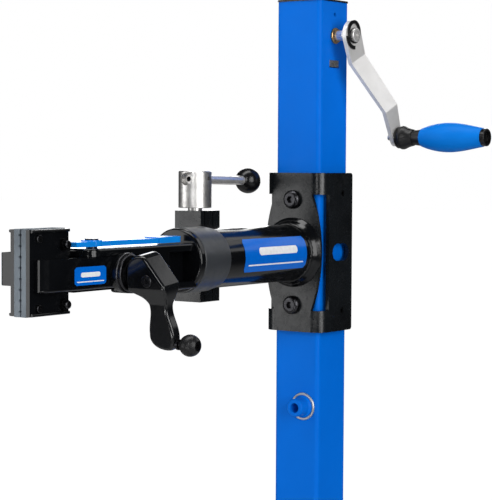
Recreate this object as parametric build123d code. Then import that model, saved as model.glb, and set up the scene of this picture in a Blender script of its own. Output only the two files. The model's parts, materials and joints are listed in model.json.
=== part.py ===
from build123d import *
import os
from math import sqrt

# Bike repair stand: a square steel post on a heavy floor plate, with a crank-lifted carriage.
# The carriage holds a round arm, and the arm holds a turning clamp head with two jaws.
# Millimetres.  +Z is up, the arm points along -Y, and the lift crank is on the +X side.
# The origin is on the floor, on the post's centre line.

# ---- driving dimensions -------------------------------------------------------------------
POST = 63.5                 # outside width of the square post
POST_WALL = 3.0
POST_CORNER = 5.5
POST_TOP = 1553.0
HALF = POST / 2

BASE_SIZE = 560.0
BASE_THICK = 16.0
BASE_CENTRE_Y = -70.0       # the floor plate reaches further out under the arm
BASE_CORNER = 40.0
ANCHOR_SPACING = 480.0
ANCHOR_HOLE = 14.0
FLANGE_SIZE = 170.0
FLANGE_THICK = 12.0
FLANGE_BOLT = 66.0          # flange bolts sit this far from the post's centre lines

ARM_Z = 1250.0              # height of the arm's axis
CARRIAGE_TALL = 192.0
CARRIAGE_HALF_X = 42.0
CARRIAGE_FRONT_Y = -41.5
CARRIAGE_REAR_Y = 27.0
CARRIAGE_PLATE = 4.8
CARRIAGE_BEND = 15.5        # outside radius of the two bends
BAND_TALL = 26.0            # uncut bend left at the top and the bottom

TUBE_R = 34.0
TUBE_BORE_R = 30.0
COLLAR_R = 42.0
TUBE_END_Y = -216.0
RING_R = 36.6
RING_Y0 = -226.3
RING_Y1 = -265.7
DISC_R = 35.8
STEM_R = 29.9

CRANK_Z = 1511.8            # lift crank's axis
CRANK_TILT = 23.4           # the crank hangs this far from straight down
SCREW_R = 8.0
GEAR_PITCH = 14.0
PAD_GAP = 0.8               # each pad starts this far from the closing plane

BAR_Z = ARM_Z - 5.9         # the adjusting screw and the guide rods sit a little under the arm's axis
ADJUST_Y = -400.0
ADJUST_TILT = 8.0

ON_BASE = (Align.CENTER, Align.CENTER, Align.MIN)

os.makedirs("parts", exist_ok=True)


# ---- helpers ------------------------------------------------------------------------------
def block(x0, x1, y0, y1, z0, z1):
    """A box between two corners."""
    centre = Pos((x0 + x1) / 2, (y0 + y1) / 2, (z0 + z1) / 2)
    return centre * Box(abs(x1 - x0), abs(y1 - y0), abs(z1 - z0))


def along_x(radius, x0, x1, y, z):
    return Pos((x0 + x1) / 2, y, z) * Rot(0, 90, 0) * Cylinder(radius, abs(x1 - x0))


def along_y(radius, y0, y1, x, z):
    return Pos(x, (y0 + y1) / 2, z) * Rot(90, 0, 0) * Cylinder(radius, abs(y1 - y0))


def along_z(radius, z0, z1, x, y):
    return Pos(x, y, (z0 + z1) / 2) * Cylinder(radius, abs(z1 - z0))


def hexagon(flats, height):
    """A hexagonal prism on the XY plane, measured across its flats."""
    return extrude(RegularPolygon(flats / 2, 6, major_radius=False), height)


def turn_about_x(part, angle, y, z):
    return Pos(0, y, z) * Rot(angle, 0, 0) * Pos(0, -y, -z) * part


def save(name, *solids):
    part = solids[0] if len(solids) == 1 else Compound(children=list(solids))
    export_step(part, f"parts/{name}.step")


# ---- the stand: floor plate, post and what is fixed to it ----------------------------------
def base_plate():
    outline = RectangleRounded(BASE_SIZE, BASE_SIZE, BASE_CORNER)
    plate = Pos(0, BASE_CENTRE_Y, 0) * extrude(outline, BASE_THICK)
    plate = chamfer(plate.faces().sort_by(Axis.Z)[-1].outer_wire().edges(), 2.0)
    for place in GridLocations(ANCHOR_SPACING, ANCHOR_SPACING, 2, 2):
        plate -= Pos(0, BASE_CENTRE_Y, BASE_THICK / 2) * place * Cylinder(ANCHOR_HOLE / 2, BASE_THICK)
    for place in GridLocations(2 * FLANGE_BOLT, 2 * FLANGE_BOLT, 2, 2):
        plate -= Pos(0, 0, BASE_THICK / 2) * place * Cylinder(6.0, BASE_THICK)
    return plate


def foot_flange():
    flange = Pos(0, 0, BASE_THICK) * extrude(RectangleRounded(FLANGE_SIZE, FLANGE_SIZE, 14), FLANGE_THICK)
    flange = chamfer(flange.faces().sort_by(Axis.Z)[-1].outer_wire().edges(), 1.5)
    for place in GridLocations(2 * FLANGE_BOLT, 2 * FLANGE_BOLT, 2, 2):
        flange -= Pos(0, 0, BASE_THICK + FLANGE_THICK / 2) * place * Cylinder(6.5, FLANGE_THICK)
    return flange


def foot_gussets():
    """Four triangular ribs between the flange and the post's faces."""
    foot = BASE_THICK + FLANGE_THICK
    points = [(HALF, foot), (HALF + 44, foot), (HALF + 44, foot + 8), (HALF + 8, foot + 78),
              (HALF, foot + 78)]
    rib = extrude(Plane.XZ * make_face(Polyline(points, close=True)), 4, both=True)
    return [Rot(0, 0, 90 * i) * rib for i in range(4)]


def base_bolts():
    """Four hexagon bolts with washers, screwed down into the floor plate."""
    top = BASE_THICK + FLANGE_THICK
    shank = Pos(0, 0, 4) * extrude(Circle(6.0), top - 4)
    washer = Pos(0, 0, top) * extrude(Circle(12), 2.5)
    head = Pos(0, 0, top + 2.5) * hexagon(19, 7.5)
    head = chamfer(head.faces().sort_by(Axis.Z)[-1].edges(), 1.0)
    bolt = shank + washer + head
    return [place * bolt for place in GridLocations(2 * FLANGE_BOLT, 2 * FLANGE_BOLT, 2, 2)]


SLOT_TAB_Z = CRANK_Z - 33.4     # centre of the bearing plate, which shows through the post's sides
TAB_WIDE = 23.0
TAB_TALL = 8.0
REAR_SLOT_Z0 = 1150.0
REAR_SLOT_Z1 = 1430.0
REAR_SLOT_WIDE = 20.0
BUSHING_HOLE_R = 8.0


def post_tube():
    foot = BASE_THICK + FLANGE_THICK
    outer = RectangleRounded(POST, POST, POST_CORNER)
    inner = RectangleRounded(POST - 2 * POST_WALL, POST - 2 * POST_WALL, POST_CORNER - POST_WALL)
    tube = Pos(0, 0, foot) * extrude(outer - inner, POST_TOP - foot)
    tube -= along_x(BUSHING_HOLE_R, -HALF - 1, HALF + 1, 0, CRANK_Z)
    tube -= along_x(2.4, 0, HALF + 1, 0, CRANK_Z + 25.7)
    tab_hole = block(-HALF - 1, HALF + 1, -TAB_WIDE / 2, TAB_WIDE / 2,
                     SLOT_TAB_Z - TAB_TALL / 2 - 1.2, SLOT_TAB_Z + TAB_TALL / 2)
    tube -= tab_hole
    slot = SlotOverall(REAR_SLOT_Z1 - REAR_SLOT_Z0, REAR_SLOT_WIDE, rotation=90)
    slot_centre = (0, HALF + 1, (REAR_SLOT_Z0 + REAR_SLOT_Z1) / 2)
    slot_place = Plane(origin=slot_centre, x_dir=(1, 0, 0), z_dir=(0, -1, 0))
    tube -= extrude(slot_place * slot, POST_WALL + 3)
    tube -= along_y(BOSS_BORE_R, -HALF - 1, -HALF + 6, BOSS_X, BOSS_Z)
    for z in LOWER_SCREWS_Z:
        tube -= along_y(3.0, HALF - 6, HALF + 1, 0, z)
    return tube


def post_cap():
    """Push-in plastic cap: a thin lid with a hollow plug."""
    lid = Pos(0, 0, POST_TOP) * extrude(RectangleRounded(POST + 2.2, POST + 2.2, POST_CORNER + 1), 2.6)
    lid = fillet(lid.faces().sort_by(Axis.Z)[-1].edges(), 1.2)
    inside = POST - 2 * POST_WALL
    plug = RectangleRounded(inside, inside, 2.5) - RectangleRounded(inside - 5, inside - 5, 1.5)
    return lid + Pos(0, 0, POST_TOP - 9) * extrude(plug, 9)


BOSS_X = 10.2
BOSS_Z = ARM_Z - 187.8
BOSS_R = 11.0
BOSS_BORE_R = 6.0
BOSS_LONG = 19.0


def tray_boss():
    """Welded threaded boss for a tool tray, on the post's front face."""
    boss = along_y(BOSS_R, -HALF - BOSS_LONG, -HALF, BOSS_X, BOSS_Z)
    boss = chamfer(boss.edges().group_by(Axis.Y)[0], 1.2)
    boss += Pos(BOSS_X, -HALF, BOSS_Z) * Rot(90, 0, 0) * Cone(BOSS_R + 4, BOSS_R, 4.5, align=ON_BASE)
    return boss - along_y(BOSS_BORE_R, -HALF - BOSS_LONG - 1, -HALF + 1, BOSS_X, BOSS_Z)


SHAFT_R = 6.0


def crank_bushings():
    """Flanged bushings in the two side walls of the post."""
    bushing = along_x(BUSHING_HOLE_R, HALF - POST_WALL - 2, HALF, 0, CRANK_Z)
    flange = along_x(9.5, HALF, HALF + 2.5, 0, CRANK_Z)
    flange = chamfer(flange.edges().group_by(Axis.X)[-1], 0.6)
    collar = along_x(7.9, HALF + 2.5, HALF + 4.5, 0, CRANK_Z)
    bushing = bushing + flange + collar - along_x(SHAFT_R + 0.05, 0, 60, 0, CRANK_Z)
    return [bushing, Rot(0, 0, 180) * bushing]


def upper_bearing_plate():
    """Carries the lead screw's thrust bearing; its two tabs rest in the post's side slots."""
    inside = POST - 2 * POST_WALL
    z0 = SLOT_TAB_Z - TAB_TALL / 2
    plate = Pos(0, 0, z0) * extrude(RectangleRounded(inside, inside - 6, 4), TAB_TALL)
    plate += block(-HALF + 1.0, HALF - 1.0, -TAB_WIDE / 2 + 0.4, TAB_WIDE / 2 - 0.4, z0, z0 + TAB_TALL)
    return plate - along_z(SCREW_R + 0.05, z0 - 1, z0 + TAB_TALL + 1, 0, 0)


THRUST_Z0 = SLOT_TAB_Z + TAB_TALL / 2
THRUST_TALL = 6.0


def thrust_bearing():
    ring = along_z(16, THRUST_Z0, THRUST_Z0 + THRUST_TALL, 0, 0)
    ring -= along_z(SCREW_R + 0.05, THRUST_Z0 - 1, THRUST_Z0 + THRUST_TALL + 1, 0, 0)
    groove = Pos(0, 0, THRUST_Z0 + THRUST_TALL / 2) * Torus(16, 1.4)
    return ring - groove


LOWER_BEARING_Z = 1140.0
LOWER_SCREWS_Z = (LOWER_BEARING_Z - 6, LOWER_BEARING_Z - 18)   # they pass between the rear glide pads


def lower_bearing_bracket():
    """Bent bracket that steadies the foot of the lead screw."""
    shelf = block(-20, 20, -14, HALF - POST_WALL, LOWER_BEARING_Z, LOWER_BEARING_Z + 5)
    back = block(-24, 24, HALF - POST_WALL - 4, HALF - POST_WALL, LOWER_BEARING_Z - 24, LOWER_BEARING_Z + 5)
    bracket = shelf + back - along_z(SCREW_R - 1.9, LOWER_BEARING_Z - 1, LOWER_BEARING_Z + 6, 0, 0)
    for z in LOWER_SCREWS_Z:
        bracket -= along_y(3.0, HALF - 12, HALF, 0, z)
    return bracket


def lower_bracket_screws():
    screws = []
    for z in LOWER_SCREWS_Z:
        head = along_y(5.0, HALF, HALF + 3, 0, z)
        head = fillet(head.edges().group_by(Axis.Y)[-1], 1.2)
        screws.append(head + along_y(3.0, HALF - 10, HALF, 0, z))
    return screws


# ---- lifting gear ---------------------------------------------------------------------------
def lead_screw():
    top = THRUST_Z0 + THRUST_TALL
    screw = along_z(SCREW_R, LOWER_BEARING_Z + 6, top, 0, 0)
    for i in range(52):
        z = LOWER_BEARING_Z + 20 + 6 * i
        groove = along_z(SCREW_R + 1, z, z + 2.6, 0, 0) - along_z(SCREW_R - 1.3, z, z + 2.6, 0, 0)
        screw -= groove
    screw += along_z(13, top + 0.1, top + 1.6, 0, 0)
    screw += along_z(5, top, CRANK_Z - GEAR_PITCH + 5.5, 0, 0)
    screw += along_z(SCREW_R - 2, LOWER_BEARING_Z - 3, LOWER_BEARING_Z + 6, 0, 0)
    return screw


def bevel_gear():
    """A 45 degree bevel gear on the Z axis, its cone's point at the origin, its hub upward."""
    slack = 0.7
    big = GEAR_PITCH - slack
    small = 7.4
    tall = big - small
    cone = Pos(0, 0, small + slack) * Cone(small, big, tall, align=ON_BASE)
    hub = Pos(0, 0, small + slack + tall) * extrude(Circle(9), 6.5)
    gear = cone + hub
    teeth = 14
    for i in range(teeth):
        notch = Pos(GEAR_PITCH - 3.2, 0, GEAR_PITCH - 3.2) * Rot(0, 45, 0) * Box(3.4, 1.9, 26)
        gear -= Rot(0, 0, 360 / teeth * i) * notch
    return gear


def screw_bevel_gear():
    gear = Pos(0, 0, CRANK_Z) * Rot(180, 0, 0) * bevel_gear()
    return gear - along_z(5, CRANK_Z - 30, CRANK_Z, 0, 0)


def crank_bevel_gear():
    gear = Pos(0, 0, CRANK_Z) * Rot(0, 90, 0) * bevel_gear()
    return gear - along_x(SHAFT_R, 0, 30, 0, CRANK_Z)


# ---- lift crank and its grip ----------------------------------------------------------------
CRANK_IN = 53.5             # inner face of the crank arm at the shaft
CRANK_PLATE = 5.0
CRANK_HUB_R = 17.5
CRANK_WAIST_R = 14.4        # half width of the arm at its lower bend
CRANK_TIP_R = 10.5
CRANK_OFFSET = 31.5         # how far the arm steps outward between its two bends
BEND_1 = 30.5
BEND_2 = 95.0
GRIP_RADIUS = 133.5
SHAFT_END = 60.3


def crank_shaft():
    """Cross shaft with a collar inside the arm and a button head outside it."""
    shaft = along_x(SHAFT_R, -HALF - 3, SHAFT_END, 0, CRANK_Z)
    collar = along_x(8.6, CRANK_IN - 7, CRANK_IN, 0, CRANK_Z)
    head = along_x(8.4, SHAFT_END, SHAFT_END + 3.4, 0, CRANK_Z)
    head = fillet(head.edges().group_by(Axis.X)[-1], 1.4)
    socket = Pos(SHAFT_END + 1, 0, CRANK_Z) * Rot(0, 90, 0) * hexagon(5, 4)
    return shaft + collar + head - socket


def crank_arm():
    """Bent flat bar, drawn hanging straight down and then tilted to its rest angle."""
    step = CRANK_IN + CRANK_OFFSET
    inner = [(CRANK_IN, 20), (CRANK_IN, -BEND_1), (step, -BEND_2), (step, -GRIP_RADIUS - 14)]
    outer = [(x + CRANK_PLATE, z) for x, z in reversed(inner)]
    side = make_face(Polyline(inner + outer, close=True))
    bar = extrude(Plane.XZ * side, 2 * CRANK_HUB_R, both=True)
    bent = bar.edges().filter_by(Axis.Y).filter_by(lambda e: -BEND_2 - 1 < e.center().Z < -BEND_1 + 1)
    bar = fillet(bent, 5)
    top_end = Circle(CRANK_HUB_R).edges()
    middle = (Pos(0, -BEND_2) * Circle(CRANK_WAIST_R)).edges()
    low_end = (Pos(0, -GRIP_RADIUS) * Circle(CRANK_TIP_R)).edges()
    front = make_hull(top_end + middle)
    lower = make_hull(middle + low_end)
    view = Plane(origin=(0, 0, 0), x_dir=(0, 1, 0), z_dir=(1, 0, 0))
    outline = extrude(view * front, 120) + extrude(view * lower, 120)
    arm = bar & outline
    arm = Pos(0, 0, CRANK_Z) * arm
    arm -= along_x(SHAFT_R, 30, 70, 0, CRANK_Z)
    arm -= along_x(GRIP_BOLT_R, 50, 100, 0, CRANK_Z - GRIP_RADIUS)
    return turn_about_x(arm, CRANK_TILT, 0, CRANK_Z)


def crank_clip():
    """Flat spring clip round the shaft's head: an open ring and a curved tail below it."""
    x0 = CRANK_IN + CRANK_PLATE
    x1 = x0 + 1.6
    centre_z = CRANK_Z + 4
    ring = along_x(14.0, x0, x1, 0, centre_z) - along_x(9.8, x0 - 1, x1 + 1, 0, centre_z)
    tail = along_x(17.2, x0, x1, 0, CRANK_Z) - along_x(12.8, x0 - 1, x1 + 1, 0, CRANK_Z)
    tail = tail & block(x0, x1, -20, 2, CRANK_Z - 20, CRANK_Z - 2)
    washer = along_x(8.8, x0, x1, 0, CRANK_Z) - along_x(SHAFT_R, x0 - 1, x1 + 1, 0, CRANK_Z)
    return ring + tail + washer - along_x(SHAFT_R, x0 - 1, x1 + 1, 0, CRANK_Z)


def crank_frame(part):
    """Moves a piece drawn on the hanging crank to the crank's rest angle."""
    return turn_about_x(part, CRANK_TILT, 0, CRANK_Z)


GRIP_X0 = CRANK_IN + CRANK_OFFSET + CRANK_PLATE
GRIP_Z = CRANK_Z - GRIP_RADIUS
COVER_X0 = 124.6
COVER_X1 = 206.6
GRIP_END = 212.3
GRIP_BOLT_R = 3.2


def grip_bolt():
    """Long bolt through the arm and the grip; its nut is on the arm's inner side."""
    shank = along_x(GRIP_BOLT_R, GRIP_X0 - CRANK_PLATE - 7.5, GRIP_END - 12, 0, GRIP_Z)
    head = along_x(6.0, GRIP_END - 12, GRIP_END - 7, 0, GRIP_Z)
    washer = along_x(9.5, GRIP_X0, GRIP_X0 + 1.6, 0, GRIP_Z)
    return crank_frame(shank + head + washer)


def grip_nut():
    x1 = GRIP_X0 - CRANK_PLATE
    nut = Pos(x1 - 4.5, 0, GRIP_Z) * Rot(0, 90, 0) * hexagon(9.5, 4.5)
    nut = chamfer(nut.edges().group_by(Axis.X)[0], 0.6)
    return crank_frame(nut - along_x(GRIP_BOLT_R, x1 - 8, x1 + 1, 0, GRIP_Z))


GRIP_BORE_R = GRIP_BOLT_R + 0.3
GRIP_POCKET_R = 7.2


def grip_core():
    """Black core: a flat rim, a round bulb, a waist and the tube under the soft cover."""
    x = GRIP_X0 + 1.9
    with BuildLine() as line:
        l1 = Polyline((x, 0), (x, 13.0), (x + 2.4, 13.0), (x + 2.8, 12.4))
        l2 = Spline(l1 @ 1, (x + 6.5, 14.3), (x + 13, 12.0), (x + 21, 9.7), (COVER_X0, 10.2),
                    tangents=((0.6, 1), (1, 0.12)))
        Polyline(l2 @ 1, (COVER_X0, 9.0), (COVER_X1, 9.0), (COVER_X1, 0), (x, 0))
    core = Pos(0, 0, GRIP_Z) * revolve(Plane.XZ * make_face(line.line), Axis.X)
    core -= along_x(GRIP_BORE_R, x - 1, COVER_X1 + 1, 0, GRIP_Z)
    return crank_frame(core - along_x(GRIP_POCKET_R, GRIP_END - 12.3, COVER_X1 + 1, 0, GRIP_Z))


def grip_cover():
    """Soft swollen cover."""
    with BuildLine() as line:
        l1 = Spline((COVER_X0, 11.0), (COVER_X0 + 16, 15.6), (COVER_X0 + 37, 17.7), (COVER_X1 - 20, 15.0),
                    (COVER_X1, 11.2))
        Polyline(l1 @ 1, (COVER_X1, 9.0), (COVER_X0, 9.0), l1 @ 0)
    cover = revolve(Plane.XZ * make_face(line.line), Axis.X)
    return crank_frame(Pos(0, 0, GRIP_Z) * cover)


def grip_end_cap():
    cap = along_x(10.5, COVER_X1, GRIP_END, 0, GRIP_Z)
    cap = fillet(cap.edges().group_by(Axis.X)[-1], 1.0)
    return crank_frame(cap - along_x(GRIP_POCKET_R, COVER_X1 - 1, GRIP_END + 1, 0, GRIP_Z))


# ---- carriage -----------------------------------------------------------------------------
CARRIAGE_Z0 = ARM_Z - CARRIAGE_TALL / 2
CARRIAGE_Z1 = ARM_Z + CARRIAGE_TALL / 2
CUT = CARRIAGE_TALL / 2 - BAND_TALL      # the bends are cut away between -CUT and +CUT
CAP_SCREW_Z = 63.8
SET_SCREW_Z = 71.5
PLATE_ARC_R = 195.0                       # the front plate's sides bulge round the tube
PLATE_HALF_X = 39.5


def carriage_frame():
    """One bent plate: a front, two sides, and bends kept only at the top and the bottom."""
    front = CARRIAGE_FRONT_Y
    inner_r = CARRIAGE_BEND - CARRIAGE_PLATE
    hx = CARRIAGE_HALF_X
    outer = block(-hx, hx, front, CARRIAGE_REAR_Y, CARRIAGE_Z0, CARRIAGE_Z1)
    outer = fillet(outer.edges().filter_by(Axis.Z).group_by(Axis.Y)[0], CARRIAGE_BEND)
    inner = block(-hx + CARRIAGE_PLATE, hx - CARRIAGE_PLATE, front + CARRIAGE_PLATE, CARRIAGE_REAR_Y + 20,
                  CARRIAGE_Z0 - 1, CARRIAGE_Z1 + 1)
    inner = fillet(inner.edges().filter_by(Axis.Z).group_by(Axis.Y)[0], inner_r)
    frame = outer - inner
    cut_x = hx - CARRIAGE_BEND
    for side in (-1, 1):
        frame -= block(side * (cut_x - 8), side * (hx + 1), front - 1, front + CARRIAGE_BEND + 1.0,
                       ARM_Z - CUT, ARM_Z + CUT)
    bulge_x = PLATE_HALF_X - PLATE_ARC_R
    view = Plane(origin=(0, front, ARM_Z), x_dir=(1, 0, 0), z_dir=(0, 1, 0))
    right = Pos(bulge_x, 0) * Circle(PLATE_ARC_R)
    left = Pos(-bulge_x, 0) * Circle(PLATE_ARC_R)
    web = right & left & Rectangle(2 * hx, 2 * CUT + 4)
    frame += extrude(view * web, CARRIAGE_PLATE)
    rear = frame.edges().filter_by(Axis.X).group_by(Axis.Y)[-1]
    frame = fillet(rear, 4)
    for z in (CAP_SCREW_Z, -CAP_SCREW_Z):
        frame -= along_y(6.5, front - 1, front + CARRIAGE_PLATE + 1, 0, ARM_Z + z)
    for z in (SET_SCREW_Z, -SET_SCREW_Z):
        frame -= along_x(4.0, -hx - 1, hx + 1, 5, ARM_Z + z)
    window = SlotOverall(36, 21)
    side_view = Plane(origin=(-hx - 1, 1, ARM_Z), x_dir=(0, 1, 0), z_dir=(1, 0, 0))
    frame -= extrude(side_view * window, 2 * hx + 2)
    return frame


def arm_tube():
    """Round arm; its far side is slit so that the clamp can squeeze it."""
    tube = along_y(TUBE_R, TUBE_END_Y, CARRIAGE_FRONT_Y, 0, ARM_Z)
    tube -= along_y(TUBE_BORE_R, TUBE_END_Y - 1, CARRIAGE_FRONT_Y + 1, 0, ARM_Z)
    return tube - block(-TUBE_R - 5, -TUBE_BORE_R + 12, TUBE_END_Y - 20, -140, ARM_Z - 2, ARM_Z + 2)


def arm_weld_collar():
    """Stepped collar that joins the tube to the front plate."""
    back = CARRIAGE_FRONT_Y
    collar = along_y(COLLAR_R, back - 5, back, 0, ARM_Z)
    collar = chamfer(collar.edges().group_by(Axis.Y)[0], 3.5)
    flare = Pos(0, back, ARM_Z) * Rot(90, 0, 0) * Cone(COLLAR_R, TUBE_R, 11, align=ON_BASE)
    return collar + flare - along_y(TUBE_R, back - 20, back + 1, 0, ARM_Z)


def tube_end_ring():
    """Slim end ring pressed over the tube's mouth."""
    ring = along_y(TUBE_R + 0.9, TUBE_END_Y - 9.7, TUBE_END_Y, 0, ARM_Z)
    ring = chamfer(ring.edges().group_by(Axis.Y)[-1], 0.8)
    ring -= along_y(TUBE_BORE_R, TUBE_END_Y - 12, TUBE_END_Y + 1, 0, ARM_Z)
    return ring - block(-TUBE_R - 5, -TUBE_BORE_R + 12, TUBE_END_Y - 20, TUBE_END_Y + 1, ARM_Z - 2, ARM_Z + 2)


LOCK_X = -46.0
LOCK_Y = -177.0
LUG_X0 = LOCK_X - 15.2
LUG_X1 = LOCK_X + 22.0
LUG_HALF_Z = 52.5
LUG_SPLIT = 2.0
LOCK_BOLT_R = 8.2


def clamp_lugs():
    """Two lugs welded to the tube, above and below its slit."""
    lugs = []
    for side in (1, -1):
        z0, z1 = sorted((ARM_Z + side * LUG_SPLIT, ARM_Z + side * LUG_HALF_Z))
        lug = block(LUG_X0, LUG_X1, LOCK_Y - 19.5, LOCK_Y + 19.5, z0, z1)
        lug = chamfer(lug.edges().filter_by(Axis.Z), 1.0)
        lug -= block(LUG_X1 - 1.2, LUG_X1 + 1, LOCK_Y - 12, LOCK_Y - 10.5, z0 - 1, z1 + 1)
        lug -= block(LUG_X1 - 1.2, LUG_X1 + 1, LOCK_Y + 4, LOCK_Y + 5.5, z0 - 1, z1 + 1)
        lug -= along_y(TUBE_R, LOCK_Y - 25, LOCK_Y + 25, 0, ARM_Z)
        lugs.append(lug - along_z(LOCK_BOLT_R + 0.05, ARM_Z - 46, ARM_Z + 60, LOCK_X, LOCK_Y))
    return lugs


def front_cap_screws():
    """Button head screws that set the front glide pads."""
    screws = []
    for z in (ARM_Z + CAP_SCREW_Z, ARM_Z - CAP_SCREW_Z):
        front = CARRIAGE_FRONT_Y
        head = along_y(11.2, front - 6.7, front, 0, z)
        head = fillet(head.edges().group_by(Axis.Y)[0], 4.2)
        head -= Pos(0, front - 2.7, z) * Rot(90, 0, 0) * hexagon(8, 5)
        shank = along_y(6.5, front, front + CARRIAGE_PLATE + 1.2, 0, z)
        screws.append(head + shank)
    return screws


def side_set_screws():
    """Small socket set screws behind the side glide pads, two on each side."""
    screws = []
    for side in (1, -1):
        for z in (ARM_Z + SET_SCREW_Z, ARM_Z - SET_SCREW_Z):
            x1 = side * (CARRIAGE_HALF_X - 0.6)
            screw = along_x(4.0, side * (CARRIAGE_HALF_X - CARRIAGE_PLATE - 0.6), x1, 5, z)
            socket = Pos(x1 - side * 2.5, 5, z) * Rot(0, 90 * side, 0) * hexagon(4, 4)
            screws.append(screw - socket)
    return screws


PAD_TO_POST = 0.35          # running clearance of the nylon pads


def front_glide_pads():
    pads = []
    for z in (ARM_Z + CAP_SCREW_Z, ARM_Z - CAP_SCREW_Z):
        y0 = CARRIAGE_FRONT_Y + CARRIAGE_PLATE
        pad = block(-18, 18, y0, -HALF - PAD_TO_POST, z - 22, z + 22)
        pad = fillet(pad.edges().filter_by(Axis.Y), 4)
        pads.append(pad - along_y(6.5, y0 - 1, y0 + 1.2, 0, z))
    return pads


def side_glide_pads():
    pads = []
    for side in (1, -1):
        for z in (ARM_Z + SET_SCREW_Z, ARM_Z - SET_SCREW_Z):
            wall_x = side * (CARRIAGE_HALF_X - CARRIAGE_PLATE)
            x0, x1 = sorted((wall_x, side * (HALF + PAD_TO_POST)))
            pad = fillet(block(x0, x1, -12, 20, z - 16, z + 16).edges().filter_by(Axis.X), 4)
            pads.append(pad - along_x(4.0, wall_x - side * 0.6, side * 50, 5, z))
    return pads


CHANNEL_X = 36.6
CHANNEL_PLATE = 3.5
CHANNEL_REAR_Y = 39.5


def carriage_back_channel():
    """Channel behind the post; it closes the carriage and carries the rear pads and the nut."""
    xo, yo, t = CARRIAGE_HALF_X - CARRIAGE_PLATE, CHANNEL_REAR_Y, CHANNEL_PLATE
    lean = 8.0
    near = t * 0.4142
    outer = [(xo, 22), (xo, yo - lean), (xo - lean, yo)]
    inner = [(xo - lean - near, yo - t), (xo - t, yo - lean - near), (xo - t, 22)]
    half = outer + [(0, yo), (0, yo - t)] + inner
    profile = make_face(Polyline(half, close=True))
    profile = profile + mirror(profile, about=Plane.YZ)
    channel = Pos(0, 0, CARRIAGE_Z0 + 6) * extrude(profile, CARRIAGE_TALL - 12)
    for z in (ARM_Z + 12, ARM_Z - 12):
        channel -= along_y(4.0, yo - t - 1, yo + 1, 0, z)
    return channel


def rear_glide_pads():
    pads = []
    for z in (ARM_Z + CAP_SCREW_Z, ARM_Z - CAP_SCREW_Z):
        y1 = CHANNEL_REAR_Y - CHANNEL_PLATE
        for x in (-19, 19):
            pad = block(x - 8, x + 8, HALF + PAD_TO_POST, y1, z - 18, z + 18)
            pads.append(fillet(pad.edges().filter_by(Axis.Y), 3))
    return pads


def nut_bracket():
    """Tongue that reaches from the back channel through the post's rear slot to the nut."""
    y1 = CHANNEL_REAR_Y - CHANNEL_PLATE
    tongue = block(-8, 8, 10, y1, ARM_Z - 19, ARM_Z + 19)
    eye = along_z(17, ARM_Z - 19, ARM_Z + 19, 0, 0)
    bracket = tongue + eye - along_z(12.5, ARM_Z - 20, ARM_Z + 20, 0, 0)
    for z in (ARM_Z + 12, ARM_Z - 12):
        bracket -= along_y(4.0, 20, y1 + 1, 0, z)
    return bracket


def lift_nut():
    """Bronze nut round the lead screw."""
    body = along_z(12.5, ARM_Z - 19, ARM_Z + 19, 0, 0)
    rim = along_z(17, ARM_Z - 22, ARM_Z - 19, 0, 0)
    return body + rim - along_z(SCREW_R + 0.35, ARM_Z - 30, ARM_Z + 30, 0, 0)


def nut_bracket_bolts():
    bolts = []
    for z in (ARM_Z + 12, ARM_Z - 12):
        head = Pos(0, CHANNEL_REAR_Y + 5, z) * Rot(90, 0, 0) * hexagon(12, 5)
        head = chamfer(head.edges().group_by(Axis.Y)[-1], 0.7)
        bolts.append(head + along_y(4.0, 20, CHANNEL_REAR_Y, 0, z))
    return bolts


# ---- lock handle --------------------------------------------------------------------------
HUB_Z0 = ARM_Z + 55.6
HUB_Z1 = ARM_Z + 98.1
HUB_R = 19.3
ROD_R = 5.4
ROD_Z = ARM_Z + 88.6
ROD_TURN = 3.0              # the rod's heading, measured from +Y towards -X
ROD_DIP = 1.2               # the rod hangs a little in its loose hole
SEAT_R = 7.2
BALL_R = 15.5
ROD_LONG = 115.0


def lock_bolt():
    """Clamp bolt: plain shank through the upper lug, thread in the lower one."""
    return along_z(LOCK_BOLT_R, ARM_Z - 45, HUB_Z0, LOCK_X, LOCK_Y)


def rod_frame(part):
    """Moves a piece drawn along +Y at the rod's height to the rod's heading and dip."""
    dipped = Pos(0, 0, ROD_Z) * Rot(-ROD_DIP, 0, 0) * Pos(0, 0, -ROD_Z) * part
    return Pos(LOCK_X, LOCK_Y, 0) * Rot(0, 0, ROD_TURN) * dipped


def lock_hub():
    """Round head with a cross hole, a seat cut for the rod and the rod's own hole."""
    hub = along_z(HUB_R, HUB_Z0, HUB_Z1, LOCK_X, LOCK_Y)
    hub = chamfer(hub.edges().group_by(Axis.Z)[-1], 0.9)
    hub = chamfer(hub.edges().group_by(Axis.Z)[0], 0.6)
    cross = along_y(3.0, -HUB_R - 1, HUB_R - 2, 0, ROD_Z) + along_x(2.4, HUB_R - 8, HUB_R + 1, 0, ROD_Z + 1)
    seat = along_y(SEAT_R, -HUB_R - 1, -HUB_R + 6, 0, ROD_Z)
    rod_hole = along_y(ROD_R, 6, HUB_R + 1, 0, ROD_Z)
    return hub - rod_frame(cross) - rod_frame(seat) - rod_frame(rod_hole)


def lock_rod():
    return rod_frame(along_y(ROD_R, 6, ROD_LONG - BALL_R + 4, 0, ROD_Z))


def lock_ball():
    ball = Pos(0, ROD_LONG, ROD_Z) * Sphere(BALL_R)
    ball -= block(-20, 20, ROD_LONG - 30, ROD_LONG - BALL_R + 1.2, ROD_Z - 20, ROD_Z + 20)
    ball -= along_y(ROD_R, 0, ROD_LONG - BALL_R + 4, 0, ROD_Z)
    return rod_frame(ball)


# ---- turning head -------------------------------------------------------------------------
FORK_X0 = -14.0
FORK_X1 = 26.0
FORK_END_Y = -447.0
FORK_TOP = (12.0, 20.0)
FORK_LOW = (-29.5, -21.5)
LOW_END_Y = -377.0
GUIDE_Y = (-330.0, -358.0)
GUIDE_R = 5.0
CAM_X = 4.0
CAM_Y = -421.0


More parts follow.
